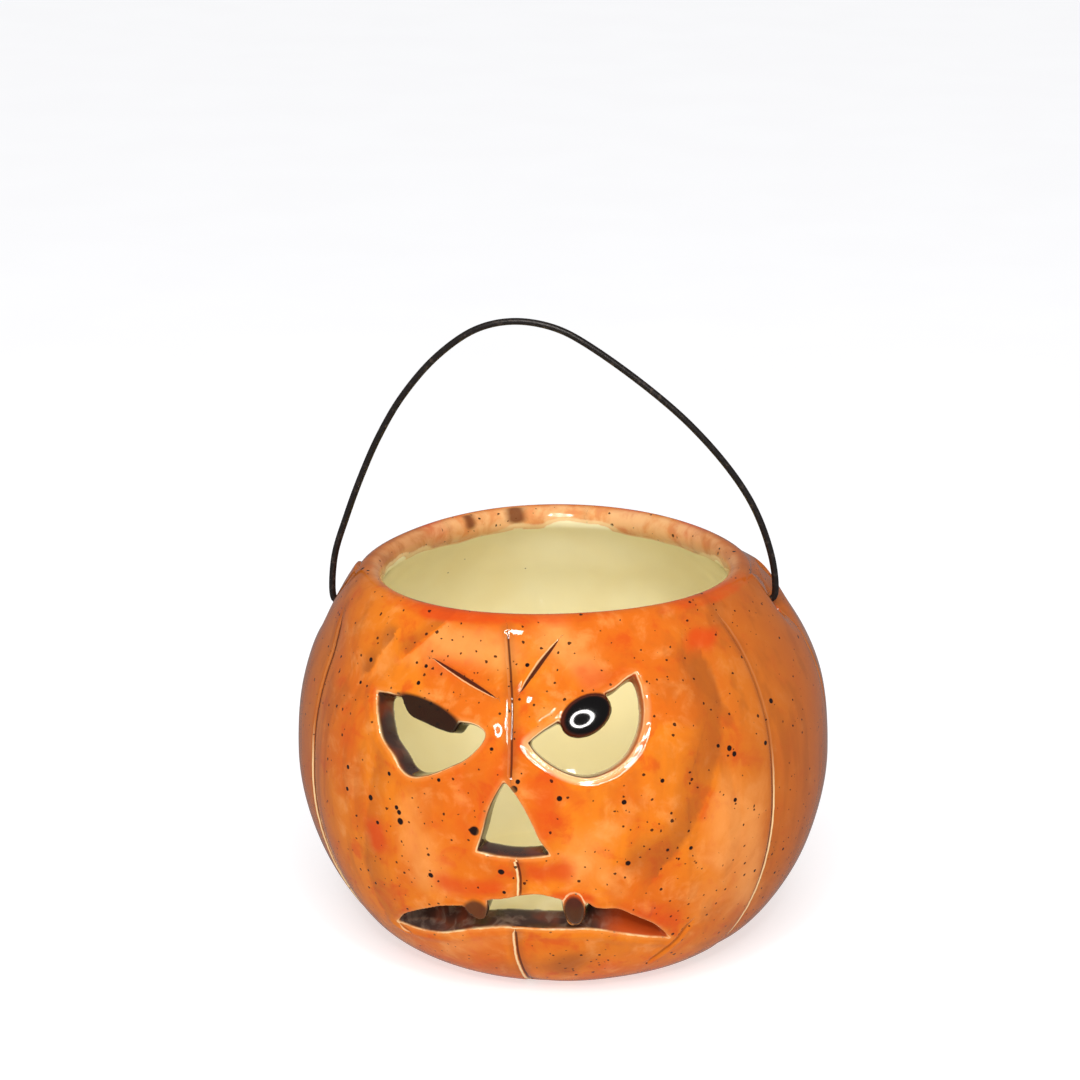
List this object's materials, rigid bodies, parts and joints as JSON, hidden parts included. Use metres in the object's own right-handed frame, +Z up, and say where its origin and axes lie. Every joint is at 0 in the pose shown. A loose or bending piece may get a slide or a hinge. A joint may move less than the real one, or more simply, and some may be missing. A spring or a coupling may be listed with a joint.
{
  "type": "votive holder",
  "caption": "Hand-built ceramic jack-o'-lantern pot with a face cut through its wall and a swinging wire bail, for a votive candle.",
  "frame": {"origin": "centre of the pot's widest circle, on the plane its foot stands on", "axes": "+Z up; +X along the bail's hinge line seen from above; the face looks towards -Y, 5 degrees towards -X"},
  "size_m": [0.127, 0.1257, 0.1485],
  "materials": {
    "orange_glaze": "glossy mottled orange glaze with dark iron speckles outside, cream glaze inside",
    "black_wire": "semi-gloss black annealed steel wire"
  },
  "bodies": {
    "pot": {"pumpkin_pot": "orange_glaze"},
    "bail": {"wire_bail": "black_wire"}
  },
  "joints": [
    {"name": "bail_swing", "type": "hinge", "parent": "pot", "child": "bail", "pos_m": [-0.0025, 0, 0.0801], "axis": [0.9992, 0, 0.0397], "range_deg": [-62, 59]}
  ]
}
